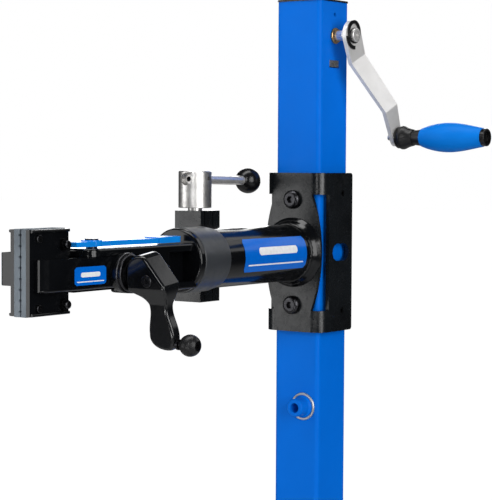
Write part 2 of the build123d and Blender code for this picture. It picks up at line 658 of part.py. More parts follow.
def head_body():
    """Steel stem, round face plate and the two fork plates."""
    stem = along_y(STEM_R, RING_Y1, -135, 0, ARM_Z) - along_y(STEM_R - 8, -262, -134, 0, ARM_Z)
    disc = along_y(DISC_R, RING_Y1 - 8, RING_Y1, 0, ARM_Z)
    disc = fillet(disc.edges().group_by(Axis.Y)[0], 3.0)
    top = block(FORK_X0, FORK_X1, FORK_END_Y, RING_Y1 - 4, ARM_Z + FORK_TOP[0], ARM_Z + FORK_TOP[1])
    low = block(FORK_X0, FORK_X1, LOW_END_Y, RING_Y1 - 4, ARM_Z + FORK_LOW[0], ARM_Z + FORK_LOW[1])
    top = fillet(top.edges().filter_by(Axis.Z).group_by(Axis.Y)[0], 14)
    low = fillet(low.edges().filter_by(Axis.Z).group_by(Axis.Y)[0], 14)
    top_rim = top.faces().sort_by(Axis.Z)[-1].edges()
    low_rim = low.faces().sort_by(Axis.Z)[0].edges()
    top = fillet(top_rim.filter_by(lambda e: e.center().Y < RING_Y1 - 5), 2.5)
    low = fillet(low_rim.filter_by(lambda e: e.center().Y < RING_Y1 - 5), 2.5)
    rib = block(-2, 10, RING_Y1 - 34, RING_Y1 - 4, ARM_Z + FORK_LOW[1] - 1, ARM_Z + FORK_TOP[0] + 1)
    head = stem + disc + top + low + rib
    return head - along_z(6.05, ARM_Z, ARM_Z + 40, CAM_X, CAM_Y)


def swivel_ring():
    ring = along_y(RING_R, RING_Y1, RING_Y0, 0, ARM_Z)
    ring = chamfer(ring.edges(), 0.8)
    return ring - along_y(STEM_R, RING_Y1 - 1, RING_Y0 + 1, 0, ARM_Z)


def guide_block():
    """Block between the fork plates; the far jaw's two rods slide in it."""
    body = block(FORK_X0, FORK_X1, GUIDE_Y[1] - 13, GUIDE_Y[0] + 13, ARM_Z + FORK_LOW[1], ARM_Z + FORK_TOP[0])
    body = chamfer(body.edges().filter_by(Axis.Z), 1.5)
    for y in GUIDE_Y:
        body -= along_x(GUIDE_R + 0.05, FORK_X0 - 1, FORK_X1 + 1, y, BAR_Z)
    return body


# ---- near jaw -----------------------------------------------------------------------------
JAW_Y0 = -525.0
JAW_Y1 = -467.0
JAW_TOP = ARM_Z + 41.5
JAW_LOW = ARM_Z - 44.5
PAD_THICK = 7.0
LIP = 3.2
PLATE_X0 = PAD_GAP + PAD_THICK
PLATE_X1 = PLATE_X0 + 4.8
BAR_X1 = 26.5
BOX_Z = ARM_Z - 4.6         # middle of the bar that carries the near jaw
BOX_HALF_Z = 16.2
FLARE_R = 20.0
FLARE_X0 = FORK_X1 + 1.5    # the flare clears the fork when the jaw is closed
FLARE_X1 = 33.0
TONGUE_X0 = -13.0
CAM_R = 7.5
CAM_OFFSET = 3.0            # at rest the cam leans this far to -X and holds the near jaw closed


def jaw_plate(depth):
    """Channel-shaped jaw plate on the +X side: a web and two lips."""
    plate = block(PLATE_X0, PLATE_X1, JAW_Y0, JAW_Y1, JAW_LOW, JAW_TOP)
    for z in (JAW_TOP - LIP, JAW_LOW):
        lip = block(PLATE_X0, PLATE_X1 + depth, JAW_Y0 + 1, JAW_Y1 - 1, z, z + LIP)
        plate += fillet(lip.edges().filter_by(Axis.Y).group_by(Axis.X)[-1], 1.4)
    return plate


def near_jaw_bar():
    """Near jaw plate and the bar that carries it, in one casting."""
    plate = jaw_plate(3.0)
    points = [(PLATE_X1 - 1, JAW_Y0 + 6), (BAR_X1 - 6, JAW_Y0 + 6), (BAR_X1 - 1.8, JAW_Y0 + 8),
              (BAR_X1, JAW_Y0 + 13), (BAR_X1, ADJUST_Y - 24), (BAR_X1 + 2, ADJUST_Y),
              (BAR_X1 + 2, ADJUST_Y + 16), (PLATE_X1, ADJUST_Y + 16), (PLATE_X1 - 1, ADJUST_Y - 50)]
    outline = make_face(Polyline(points, close=True))
    bar = Pos(0, 0, BOX_Z) * extrude(outline, BOX_HALF_Z, both=True)
    for face in (bar.faces().sort_by(Axis.Z)[-1], bar.faces().sort_by(Axis.Z)[0]):
        rim = face.edges().filter_by(lambda e: e.center().X > BAR_X1 - 5 and e.center().Y < ADJUST_Y - 5)
        bar = fillet(rim, 2.5)
    flare = along_x(FLARE_R, FLARE_X0, FLARE_X1, ADJUST_Y, BAR_Z)
    tongue = block(TONGUE_X0, PLATE_X1, JAW_Y1 + 8, ADJUST_Y + 15, ARM_Z - 24, ARM_Z + 8.5)
    tongue = chamfer(tongue.edges().filter_by(Axis.Z).group_by(Axis.X)[0], 3)
    jaw = plate + bar + flare + tongue
    jaw -= along_x(SCREW_CLEAR_R, TONGUE_X0 - 1, FLARE_X1 + 1, ADJUST_Y, BAR_Z)
    slack = 0.9
    cam_x = CAM_X - CAM_OFFSET
    reach_y = CAM_R + CAM_OFFSET + 1.0
    return jaw - block(cam_x - CAM_R - slack, cam_x + CAM_R + slack, CAM_Y - reach_y, CAM_Y + reach_y,
                       ARM_Z - 8, ARM_Z + 20)


def clamp_pad(side):
    """Ribbed rubber pad; side is +1 for the near jaw and -1 for the far one."""
    pad = block(PAD_GAP, PLATE_X0, JAW_Y0, JAW_Y1, JAW_LOW - 0.6, JAW_TOP + 0.6)
    pad = chamfer(pad.edges().filter_by(Axis.Z).group_by(Axis.X)[0], 0.8)
    for i in range(8):
        z = JAW_LOW + 5 + 10.8 * i
        pad -= block(PAD_GAP - 1, PAD_GAP + 1.2, JAW_Y0 - 1, JAW_Y1 + 1, z - 1, z + 1)
    return pad if side > 0 else mirror(pad, about=Plane.YZ)


def pad_screws(side):
    """Screws that hold a pad: domed heads on the outer side of the jaw plate."""
    screws = []
    for z in (ARM_Z + 32.5, ARM_Z - 36.8):
        head = along_x(4.2, PLATE_X1, PLATE_X1 + 2.6, JAW_Y0 + 13, z)
        head = fillet(head.edges().group_by(Axis.X)[-1], 1.0)
        screws.append(head)
    for z in (ARM_Z + 25.5, ARM_Z - 34.8):
        nut = along_x(6.2, PLATE_X1, PLATE_X1 + 3.0, JAW_Y1 - 7.5, z)
        dome = along_x(4.4, PLATE_X1 + 3.0, PLATE_X1 + 7.5, JAW_Y1 - 7.5, z)
        screws.append(nut + fillet(dome.edges().group_by(Axis.X)[-1], 1.8))
    return screws if side > 0 else [mirror(s, about=Plane.YZ) for s in screws]


# ---- far jaw ------------------------------------------------------------------------------
FAR_X1 = -15.0
FAR_X0 = -34.5
FAR_Z0 = ARM_Z - 15.4
FAR_Z1 = ARM_Z + 18.0
SCREW_CLEAR_R = 6.6
ADJUST_R = 6.0


def far_jaw_arm():
    """Far jaw plate and arm; it slides on two rods and holds the adjusting nut."""
    plate = mirror(jaw_plate(3.0), about=Plane.YZ)
    arm = block(FAR_X0, FAR_X1, JAW_Y0 + 8, GUIDE_Y[0] + 12, FAR_Z0, FAR_Z1)
    arm = fillet(arm.edges().filter_by(Axis.Z) + arm.edges().filter_by(Axis.Y).group_by(Axis.X)[0], 4)
    root = block(FAR_X0 + 5, -PLATE_X1 + 1, JAW_Y0 + 14, JAW_Y1 - 4, FAR_Z0 + 1, FAR_Z1 - 1)
    jaw = plate + arm + root
    jaw -= along_x(10.0, FAR_X0 - 1, FAR_X1 + 1, ADJUST_Y, BAR_Z)
    for y in GUIDE_Y:
        jaw -= along_x(GUIDE_R, FAR_X0 - 1, FAR_X1 + 1, y, BAR_Z)
    return jaw


def adjusting_nut():
    nut = along_x(10.0, FAR_X0, FAR_X1, ADJUST_Y, BAR_Z) + along_x(13.0, FAR_X0 - 4, FAR_X0, ADJUST_Y, BAR_Z)
    return nut - along_x(ADJUST_R + 0.35, FAR_X0 - 6, FAR_X1 + 1, ADJUST_Y, BAR_Z)


def guide_rods():
    rods = []
    for y in GUIDE_Y:
        rod = along_x(GUIDE_R, FAR_X0 - 2, FORK_X1 + 8, y, BAR_Z)
        rods.append(chamfer(rod.edges().group_by(Axis.X)[-1], 0.8))
    return rods


# ---- cam lever ----------------------------------------------------------------------------
LEVER_TIP_Y = -283.0
LEVER_END_Y = CAM_Y - 33.0   # the short end beyond the pin


def cam_lever():
    """Long flat lever over the head, on a vertical pin near the jaws, with a thicker thumb end."""
    z0 = ARM_Z + FORK_TOP[1] + 1.5
    points = [(CAM_X - 7, LEVER_END_Y), (CAM_X + 8, LEVER_END_Y),
              (CAM_X + 10, CAM_Y), (CAM_X + 9, CAM_Y + 40), (CAM_X + 14, LEVER_TIP_Y - 44),
              (CAM_X + 15, LEVER_TIP_Y - 10), (CAM_X - 5, LEVER_TIP_Y - 10), (CAM_X - 4, LEVER_TIP_Y - 44),
              (CAM_X - 7, CAM_Y + 40), (CAM_X - 9, CAM_Y)]
    blade = Pos(0, 0, z0) * extrude(make_face(Polyline(points, close=True)), 5.4)
    tip = along_z(10, z0, z0 + 6.6, CAM_X + 5, LEVER_TIP_Y - 10)
    thumb = block(CAM_X - 5, CAM_X + 15, LEVER_TIP_Y - 44, LEVER_TIP_Y - 10, z0, z0 + 6.6)
    hub = along_z(11, z0, z0 + 6.6, CAM_X, CAM_Y)
    lever = blade + tip + thumb + hub
    return lever - along_z(6.0, z0 - 1, z0 + 10, CAM_X, CAM_Y)


def cam_pin():
    """Pin with an off-centre cam inside the near jaw's tongue."""
    z1 = ARM_Z + FORK_TOP[1] + 8.1
    pin = along_z(6.0, ARM_Z + 9, z1, CAM_X, CAM_Y)
    cam = along_z(CAM_R, ARM_Z - 6, ARM_Z + 9, CAM_X - CAM_OFFSET, CAM_Y)
    cap = along_z(7.2, z1, z1 + 1.4, CAM_X, CAM_Y)
    cap = fillet(cap.edges().group_by(Axis.Z)[-1], 0.6)
    return pin + cam + cap


# ---- adjusting crank ----------------------------------------------------------------------
HUB_X = 43.0
SCREW_X1 = 74.0
BALL_Z = ARM_Z - 77.9
BALL_X = 108.3
KNOB_R = 11.4
STUD_R = 4.0
STUD_X0 = 82.0
STUD_NECK_X = 92.6
STUD_NECK_R = 5.6
HUB_HALF_Y = 14.0           # half thickness of the crank's hub
ARM_HALF_Y = 6.5            # half thickness of its arm
CASTING_R = 3.0             # rounding of the casting's edges
POCKET_X = 7.0              # depth of the knob's outer pocket, from the knob's centre


def adjusting_screw():
    screw = along_x(ADJUST_R, -72, SCREW_X1, ADJUST_Y, BAR_Z)
    return chamfer(screw.edges().group_by(Axis.X)[0], 1.5)


def adjuster_collars():
    """Two stepped thrust collars between the bar and the crank."""
    x0 = FLARE_X1 + 0.3
    inner = fillet(along_x(21.0, x0, x0 + 3.7, ADJUST_Y, BAR_Z).edges(), 1.2)
    outer = along_x(19.3, x0 + 3.7, x0 + 7.4, ADJUST_Y, BAR_Z)
    outer = fillet(outer.edges().group_by(Axis.X)[-1], 1.2)
    neck = along_x(14.0, x0 + 7.4, HUB_X, ADJUST_Y, BAR_Z)
    return inner + outer + neck - along_x(ADJUST_R, 0, 60, ADJUST_Y, BAR_Z)


def adjusting_crank():
    """Cast crank: a thick hub that leans outward, and a thinner curved arm with a rounded foot."""
    with BuildLine() as line:
        c1 = Spline((HUB_X, -21.0), (HUB_X + 0.6, -6.0), (48.5, 9.0), (60.0, 15.4), (70.0, 12.5),
                    tangents=((0, 1), (0.75, -0.66)))
        c2 = Polyline(c1 @ 1, (91.0, -15.0))
        c3 = Spline(c2 @ 1, (90.5, -25.0), (86.5, -41.8), (88.5, -52.0), (91.5, -62.0), (92.0, -74.0),
                    (87.0, -83.5))
        c4 = Spline(c3 @ 1, (74.0, -83.0), (63.5, -77.0), (61.0, -67.0))
        c5 = Spline(c4 @ 1, (63.2, -51.0), (64.0, -39.0), (60.5, -31.0), (52.0, -26.0), c1 @ 0)
    slab = extrude(Plane.XZ * make_face(line.line), HUB_HALF_Y, both=True)
    half = [(0, 20), (HUB_HALF_Y, 20), (HUB_HALF_Y, -19), (ARM_HALF_Y, -36), (ARM_HALF_Y, -90), (0, -90)]
    taper = make_face(Polyline(half, close=True))
    taper = taper + mirror(taper, about=Plane.YZ)
    slab = slab & extrude(Plane.YZ * taper, 120)
    corners = slab.edges().filter_by(Axis.Y)
    rim = [e for e in slab.edges() if e not in corners and abs(e.center().Y) > ARM_HALF_Y - 0.5]
    slab = fillet(rim, CASTING_R)
    slab = Pos(0, ADJUST_Y, ARM_Z) * slab
    slab -= along_x(ADJUST_R, HUB_X - 5, SCREW_X1, ADJUST_Y, BAR_Z)
    slab -= along_x(STUD_R, STUD_X0, BALL_X, ADJUST_Y, BALL_Z)
    slab -= along_x(STUD_NECK_R, STUD_NECK_X, BALL_X, ADJUST_Y, BALL_Z)
    return turn_about_x(slab, ADJUST_TILT, ADJUST_Y, BAR_Z)


def hub_set_screw():
    """Socket screw in the hub's -Y side, onto the adjusting screw's end."""
    face = ADJUST_Y - HUB_HALF_Y
    x = 70
    z = BAR_Z - 4.6
    head = along_y(6.4, face - 1.2, face, x, z)
    head = fillet(head.edges().group_by(Axis.Y)[0], 0.9)
    head -= Pos(x, face + 1, z) * Rot(90, 0, 0) * hexagon(5, 4)
    return turn_about_x(head, ADJUST_TILT, ADJUST_Y, BAR_Z)


def ball_stud():
    """Stud that the ball turns on; its socket head keeps the ball in place."""
    stud = along_x(STUD_R, STUD_X0, BALL_X + POCKET_X + 0.4, ADJUST_Y, BALL_Z)
    neck = along_x(STUD_NECK_R, STUD_NECK_X, STUD_NECK_X + 2.6, ADJUST_Y, BALL_Z)
    head = along_x(STUD_R + 0.9, BALL_X + POCKET_X + 0.4, BALL_X + POCKET_X + 2.4, ADJUST_Y, BALL_Z)
    socket = Pos(BALL_X + POCKET_X + 0.8, ADJUST_Y, BALL_Z) * Rot(0, 90, 0) * hexagon(4, 4)
    return turn_about_x(stud + neck + head - socket, ADJUST_TILT, ADJUST_Y, BAR_Z)


def ball_knob():
    """Ball with a bore for its stud and a wider pocket for the stud's head."""
    bore = STUD_R + 0.3
    pocket_r = STUD_R + 1.3
    inner_x = -sqrt(KNOB_R ** 2 - bore ** 2)
    outer_x = sqrt(KNOB_R ** 2 - pocket_r ** 2)
    with BuildLine() as line:
        ThreePointArc((inner_x, bore), (0, KNOB_R), (outer_x, pocket_r))
        Polyline((outer_x, pocket_r), (POCKET_X, pocket_r), (POCKET_X, bore), (inner_x, bore))
    knob = revolve(Plane.XZ * make_face(line.line), Axis.X)
    return turn_about_x(Pos(BALL_X, ADJUST_Y, BALL_Z) * knob, ADJUST_TILT, ADJUST_Y, BAR_Z)


def main():
    single = [base_plate, foot_flange, post_tube, post_cap, tray_boss, upper_bearing_plate, thrust_bearing,
              lower_bearing_bracket, lead_screw, screw_bevel_gear, crank_bevel_gear, crank_shaft, crank_arm,
              crank_clip, grip_bolt, grip_nut, grip_core, grip_cover, grip_end_cap, carriage_frame, arm_tube,
              arm_weld_collar, tube_end_ring, carriage_back_channel, nut_bracket, lift_nut, lock_bolt,
              lock_hub, lock_rod, lock_ball, head_body, swivel_ring, guide_block, near_jaw_bar,
              far_jaw_arm, adjusting_nut, cam_lever, cam_pin, adjusting_screw, adjuster_collars,
              adjusting_crank, hub_set_screw, ball_stud, ball_knob]
    groups = [foot_gussets, base_bolts, crank_bushings, lower_bracket_screws, clamp_lugs, front_cap_screws,
              side_set_screws, front_glide_pads, side_glide_pads, rear_glide_pads, nut_bracket_bolts,
              guide_rods]
    for make in single:
        save(make.__name__, make())
    for make in groups:
        save(make.__name__, *make())
    save("near_pad", clamp_pad(1))
    save("far_pad", clamp_pad(-1))
    save("near_pad_screws", *pad_screws(1))
    save("far_pad_screws", *pad_screws(-1))


main()
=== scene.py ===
import json
import math

import bmesh
import bpy
from mathutils import Matrix, Vector


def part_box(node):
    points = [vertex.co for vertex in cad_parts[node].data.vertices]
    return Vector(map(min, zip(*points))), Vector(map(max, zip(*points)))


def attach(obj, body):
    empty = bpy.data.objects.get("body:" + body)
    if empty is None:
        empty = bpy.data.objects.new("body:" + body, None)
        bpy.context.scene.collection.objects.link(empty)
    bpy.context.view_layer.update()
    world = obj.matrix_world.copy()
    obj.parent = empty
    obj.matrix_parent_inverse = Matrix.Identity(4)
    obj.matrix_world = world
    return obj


# Looks of a bike repair stand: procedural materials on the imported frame, and the small
# pieces that the frame leaves out: two labels and two weld beads. Screw threads are only a bump.
# Metres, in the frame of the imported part.

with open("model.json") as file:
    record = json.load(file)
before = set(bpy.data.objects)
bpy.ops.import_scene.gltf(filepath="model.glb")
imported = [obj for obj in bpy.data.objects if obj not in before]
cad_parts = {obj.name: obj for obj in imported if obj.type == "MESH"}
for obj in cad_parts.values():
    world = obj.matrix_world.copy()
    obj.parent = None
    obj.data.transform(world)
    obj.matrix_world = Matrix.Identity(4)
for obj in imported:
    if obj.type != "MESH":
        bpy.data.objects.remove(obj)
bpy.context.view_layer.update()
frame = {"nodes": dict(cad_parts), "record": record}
nodes = frame["nodes"]

ARM_Z = 1.250
TUBE_R = 0.034
ARM_LABEL_Y = -0.125
ARM_LABEL_ANGLE = math.radians(4.7)
BAR_FACE_X = 0.0265
BAR_LABEL_Y = -0.4495
BAR_LABEL_Z = ARM_Z - 0.0065
LABEL_THICK = 0.00025
LABEL_GAP = 0.00012         # keeps a label's back off the surface under it
LABEL_CORNER = 0.003
FLOOR_HALF = 40.0

CAMERA_PLACE = (1.173, -1.802, 1.361)
CAMERA_HEADING = math.radians(35.2)     # from +Y towards -X
CAMERA_PITCH = math.radians(-2.94)
CAMERA_ROLL = math.radians(0.3)
CAMERA_LENS = 126.0


# ---- node helpers -------------------------------------------------------------------------
def new_material(name):
    """A material with the default node tree, and its Principled shader."""
    material = bpy.data.materials.new(name)
    material.use_nodes = True
    tree = material.node_tree
    shader = tree.nodes["Principled BSDF"]
    return material, tree, shader


def object_coords(tree, stretch=(1, 1, 1)):
    """Object coordinates, which are metres in the part's frame; stretch squeezes them by axis."""
    coords = tree.nodes.new("ShaderNodeTexCoord")
    mapping = tree.nodes.new("ShaderNodeMapping")
    mapping.inputs["Scale"].default_value = stretch
    tree.links.new(coords.outputs["Object"], mapping.inputs["Vector"])
    return mapping.outputs["Vector"]


def noise(tree, vector, scale, detail=2.0, roughness=0.5):
    node = tree.nodes.new("ShaderNodeTexNoise")
    node.inputs["Scale"].default_value = scale
    node.inputs["Detail"].default_value = detail
    node.inputs["Roughness"].default_value = roughness
    tree.links.new(vector, node.inputs["Vector"])
    return node.outputs["Fac"]


def spread(tree, value, low, high, start=0.3, end=0.7):
    """Maps a noise value from start..end to low..high."""
    node = tree.nodes.new("ShaderNodeMapRange")
    node.inputs["From Min"].default_value = start
    node.inputs["From Max"].default_value = end
    node.inputs["To Min"].default_value = low
    node.inputs["To Max"].default_value = high
    tree.links.new(value, node.inputs["Value"])
    return node.outputs["Result"]


def two_colours(tree, factor, first, second):
    node = tree.nodes.new("ShaderNodeMix")
    node.data_type = "RGBA"
    node.inputs["A"].default_value = (*first, 1)
    node.inputs["B"].default_value = (*second, 1)
    tree.links.new(factor, node.inputs["Factor"])
    return node.outputs["Result"]


def bump(tree, shader, height, distance, strength=1.0, below=None):
    node = tree.nodes.new("ShaderNodeBump")
    node.inputs["Strength"].default_value = strength
    node.inputs["Distance"].default_value = distance
    tree.links.new(height, node.inputs["Height"])
    if below is not None:
        tree.links.new(below.outputs["Normal"], node.inputs["Normal"])
    tree.links.new(node.outputs["Normal"], shader.inputs["Normal"])
    return node


def paint(name, colour, shade, roughness, peel=0.00002, peel_scale=420, gloss=0.5):
    """Sprayed or powder paint: slow colour drift, orange peel and a little dust in the gloss."""
    material, tree, shader = new_material(name)
    vector = object_coords(tree)
    drift = spread(tree, noise(tree, vector, 14, 3), 0, 1)
    tree.links.new(two_colours(tree, drift, colour, shade), shader.inputs["Base Color"])
    dust = noise(tree, vector, 90, 4, 0.65)
    tree.links.new(spread(tree, dust, roughness * 0.8, roughness * 1.3), shader.inputs["Roughness"])
    shader.inputs["Specular IOR Level"].default_value = gloss
    wide = bump(tree, shader, noise(tree, vector, peel_scale, 1.5), peel)
    bump(tree, shader, noise(tree, vector, peel_scale * 4, 2), peel * 0.18, below=wide)
    return material


def steel(name, colour, shade, roughness, stretch=(1, 1, 1), grain=0.00001, speckle=0.0, metallic=1.0):
    """Bare or plated steel; stretch draws out its brush lines along an axis."""
    material, tree, shader = new_material(name)
    shader.inputs["Metallic"].default_value = metallic
    vector = object_coords(tree, stretch)
    plain = object_coords(tree)
    lines = noise(tree, vector, 900, 4, 0.6)
    cloud = noise(tree, plain, 45, 3)
    tree.links.new(two_colours(tree, spread(tree, cloud, 0, 1), colour, shade), shader.inputs["Base Color"])
    tree.links.new(spread(tree, lines, roughness * 0.75, roughness * 1.35), shader.inputs["Roughness"])
    first = bump(tree, shader, lines, grain)
    if speckle:
        bump(tree, shader, noise(tree, plain, 1500, 2), speckle, below=first)
    return material


def plastic(name, colour, shade, roughness, gloss, grain=0.000015, scale=900):
    """Moulded plastic or rubber with a fine spark-eroded grain."""
    material, tree, shader = new_material(name)
    vector = object_coords(tree)
    drift = spread(tree, noise(tree, vector, 30, 3), 0, 1)
    tree.links.new(two_colours(tree, drift, colour, shade), shader.inputs["Base Color"])
    tree.links.new(spread(tree, noise(tree, vector, 160, 4), roughness * 0.85, roughness * 1.2),
                   shader.inputs["Roughness"])
    shader.inputs["Specular IOR Level"].default_value = gloss
    bump(tree, shader, noise(tree, vector, scale, 3, 0.6), grain)
    return material


def threaded(name, colour, shade, roughness, axis, pitch, depth):
    """Steel whose bump imitates thread ridges, at a pitch along an axis of the part's frame."""
    material, tree, shader = new_material(name)
    shader.inputs["Metallic"].default_value = 1.0
    vector = object_coords(tree)
    wave = tree.nodes.new("ShaderNodeTexWave")
    wave.wave_type = "BANDS"
    wave.bands_direction = axis
    wave.wave_profile = "TRI"
    wave.inputs["Scale"].default_value = 2 * math.pi / (20 * pitch)
    tree.links.new(vector, wave.inputs["Vector"])
    cloud = spread(tree, noise(tree, vector, 60, 3), 0, 1)
    tree.links.new(two_colours(tree, cloud, colour, shade), shader.inputs["Base Color"])
    tree.links.new(spread(tree, noise(tree, vector, 500, 3), roughness * 0.8, roughness * 1.3),
                   shader.inputs["Roughness"])
    bump(tree, shader, wave.outputs["Fac"], depth)
    return material


def printed(name, colour, shade, roughness):
    """Gloss film of a printed label, with a faint grain under the lacquer."""
    material, tree, shader = new_material(name)
    vector = object_coords(tree)
    tree.links.new(two_colours(tree, spread(tree, noise(tree, vector, 200, 3), 0, 1), colour, shade),
                   shader.inputs["Base Color"])
    tree.links.new(spread(tree, noise(tree, vector, 260, 3), roughness * 0.8, roughness * 1.2),
                   shader.inputs["Roughness"])
    shader.inputs["Specular IOR Level"].default_value = 0.2
    bump(tree, shader, noise(tree, vector, 700, 2), 0.000004)
    return material


def pale_floor():
    """Nearly white floor that fades into the white surroundings."""
    material, tree, shader = new_material("pale_floor")
    grey = spread(tree, noise(tree, object_coords(tree), 3, 2), 0.50, 0.52)
    tree.links.new(grey, shader.inputs["Base Color"])
    shader.inputs["Roughness"].default_value = 0.9
    path = tree.nodes.new("ShaderNodeLightPath")
    glow = spread(tree, path.outputs["Is Camera Ray"], 0.0, 1.0, 0, 1)
    shader.inputs["Emission Color"].default_value = (1, 1, 1, 1)
    tree.links.new(glow, shader.inputs["Emission Strength"])
    return material


# ---- materials ----------------------------------------------------------------------------
looks = {
    "blue_paint": paint("blue_paint", (0.0, 0.128, 0.60), (0.0, 0.138, 0.64), 0.36, peel=0.000012,
                        gloss=0.05),
    "base_paint": paint("base_paint", (0.008, 0.008, 0.009), (0.013, 0.013, 0.014), 0.42, peel=0.00006,
                        gloss=0.3),
    "black_paint": paint("black_paint", (0.0015, 0.0017, 0.0022), (0.003, 0.0034, 0.0042), 0.13,
                         peel=0.000018,
                         peel_scale=300, gloss=0.32),
    "carriage_paint": paint("carriage_paint", (0.002, 0.0024, 0.003), (0.006, 0.0075, 0.009), 0.25,
                            peel=0.00007, peel_scale=330, gloss=0.42),
    "satin_black": paint("satin_black", (0.020, 0.0225, 0.026), (0.030, 0.033, 0.038), 0.36, peel=0.00002,
                         gloss=0.45),
    "casting": paint("casting", (0.0025, 0.0028, 0.0035), (0.005, 0.0055, 0.0065), 0.13, peel=0.00002,
                     peel_scale=260, gloss=0.5),
    "blue_lever": paint("blue_lever", (0.003, 0.20, 0.66), (0.004, 0.22, 0.72), 0.20, peel=0.00001,
                        gloss=0.25),
    "black_plastic": plastic("black_plastic", (0.003, 0.003, 0.0035), (0.006, 0.006, 0.0065), 0.2, 0.3,
                             grain=0.000004),
    "dull_plastic": plastic("dull_plastic", (0.004, 0.004, 0.0045), (0.008, 0.008, 0.0085), 0.38, 0.3,
                            grain=0.00001),
    "blue_grip": plastic("blue_grip", (0.0, 0.145, 0.55), (0.0, 0.16, 0.60), 0.45, 0.08, grain=0.00003,
                         scale=1400),
    "clamp_rubber": plastic("clamp_rubber", (0.10, 0.12, 0.14), (0.17, 0.20, 0.23), 0.62, 0.4, grain=0.00005,
                            scale=700),
    "steel": steel("steel", (0.80, 0.79, 0.77), (0.70, 0.69, 0.68), 0.3, stretch=(0.08, 1, 1), metallic=0.75),
    "crank_steel": steel("crank_steel", (0.80, 0.79, 0.78), (0.72, 0.71, 0.70), 0.38, stretch=(1, 1, 0.06),
                         metallic=0.55),
    "blasted_steel": steel("blasted_steel", (0.74, 0.73, 0.71), (0.50, 0.49, 0.48), 0.36, speckle=0.00004),
    "dark_steel": steel("dark_steel", (0.05, 0.05, 0.054), (0.03, 0.03, 0.033), 0.28, speckle=0.000006),
    "zinc_steel": steel("zinc_steel", (0.60, 0.60, 0.60), (0.50, 0.50, 0.49), 0.28),
    "nylon": plastic("nylon", (0.62, 0.60, 0.52), (0.70, 0.68, 0.60), 0.45, 0.4),
    "screw_thread_x": threaded("screw_thread_x", (0.55, 0.55, 0.54), (0.42, 0.42, 0.41), 0.28, "X",
                               pitch=0.002, depth=0.0006),
    "screw_thread_z": threaded("screw_thread_z", (0.50, 0.50, 0.49), (0.36, 0.36, 0.35), 0.30, "Z",
                               pitch=0.006, depth=0.0015),
    "label_blue": printed("label_blue", (0.0, 0.105, 0.50), (0.0, 0.118, 0.54), 0.22),
    "label_white": printed("label_white", (0.74, 0.75, 0.76), (0.66, 0.67, 0.68), 0.3),
    # Pale bare steel of the tray boss's weld bead: a painted highlight, standing in for glints on a weld that
    # is painted blue.
    "weld": steel("weld", (0.66, 0.65, 0.63), (0.45, 0.44, 0.43), 0.34, speckle=0.00003),
    "bronze": steel("bronze", (0.55, 0.36, 0.16), (0.46, 0.29, 0.12), 0.30),
}
special = {
    "carriage_frame": "carriage_paint", "clamp_lugs": "carriage_paint", "crank_arm": "crank_steel",
    "lock_hub": "blasted_steel", "ball_knob": "dull_plastic", "grip_core": "dull_plastic",
    "adjusting_crank": "casting", "crank_bushings": "bronze",
    "tube_end_ring": "satin_black", "adjusting_screw": "screw_thread_x", "lead_screw": "screw_thread_z",
}
slot_of = {s["node"]: s["material_slot"] for s in frame["record"]["subparts"]}


def dress(obj, material):
    obj.data.materials.clear()
    obj.data.materials.append(material)


for node_name, node in nodes.items():
    dress(node, looks[special.get(node_name, slot_of[node_name])])


# ---- added pieces -------------------------------------------------------------------------
def add_piece(name, points, faces, body, material, smooth=True):
    """A piece of the visual model, built from points and faces in the part's frame."""
    mesh = bpy.data.meshes.new(name)
    mesh.from_pydata(points, [], faces)
    mesh.update()
    if smooth:
        mesh.shade_smooth()
        mesh.set_sharp_from_angle(angle=math.radians(40))
    obj = bpy.data.objects.new(name, mesh)
    bpy.context.scene.collection.objects.link(obj)
    tidy = bmesh.new()
    tidy.from_mesh(mesh)
    bmesh.ops.recalc_face_normals(tidy, faces=tidy.faces)
    tidy.to_mesh(mesh)
    tidy.free()
    dress(obj, looks[material])
    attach(obj, body)
    return obj


def closed_sweep(rings):
    """Points and faces of a tube through rings of points that closes on itself."""
    count = len(rings[0])
    points = [p for ring in rings for p in ring]
    faces = []
    for i in range(len(rings)):
        j = (i + 1) % len(rings)
        for k in range(count):
            m = (k + 1) % count
            faces.append((i * count + k, i * count + m, j * count + m, j * count + k))
    return points, faces


def weld_bead(name, centre, radius, bead, lean, body, material, steps=180, ripples=34):
    """Rippled fillet weld round a tube whose axis is Y; lean pushes each ripple forward."""
    rings = []
    for i in range(steps):
        angle = 2 * math.pi * i / steps
        wave = math.sin(ripples * angle + 1.2 * math.sin(3 * angle))
        size = bead * (0.86 + 0.10 * wave + 0.04 * math.sin(5 * angle))
        ring = []
        for k in range(10):
            around = 2 * math.pi * k / 10
            r = radius + size * math.cos(around)
            y = centre[1] + size * math.sin(around) + lean * wave
            ring.append((centre[0] + r * math.cos(angle), y, centre[2] + r * math.sin(angle)))
        rings.append(ring)
    points, faces = closed_sweep(rings)
    add_piece(name, points, faces, body, material)


def label_sheet(name, width, height, place, corner, body, material, cols=24, rows=10):
    """Thin label with round corners; place(u, v, lift) gives the point for its own u, v in metres."""
    points, faces = [], []
    for lift in (0.0, LABEL_THICK):
        for j in range(rows + 1):
            v = -height / 2 + height * j / rows
            inset = max(0.0, abs(v) - (height / 2 - corner))
            half = width / 2 - corner + math.sqrt(max(0.0, corner ** 2 - inset ** 2))
            for i in range(cols + 1):
                u = -half + 2 * half * i / cols
                points.append(place(u, v, lift))
    step = cols + 1
    top = step * (rows + 1)
    for j in range(rows):
        for i in range(cols):
            a = j * step + i
            faces.append((a, a + 1, a + step + 1, a + step))
            faces.append((top + a, top + a + step, top + a + step + 1, top + a + 1))
    border = list(range(step)) + [j * step + cols for j in range(1, rows + 1)]
    border += [rows * step + i for i in range(cols - 1, -1, -1)] + [j * step for j in range(rows - 1, 0, -1)]
    for k, a in enumerate(border):
        b = border[(k + 1) % len(border)]
        faces.append((a, b, top + b, top + a))
    add_piece(name, points, faces, body, material)


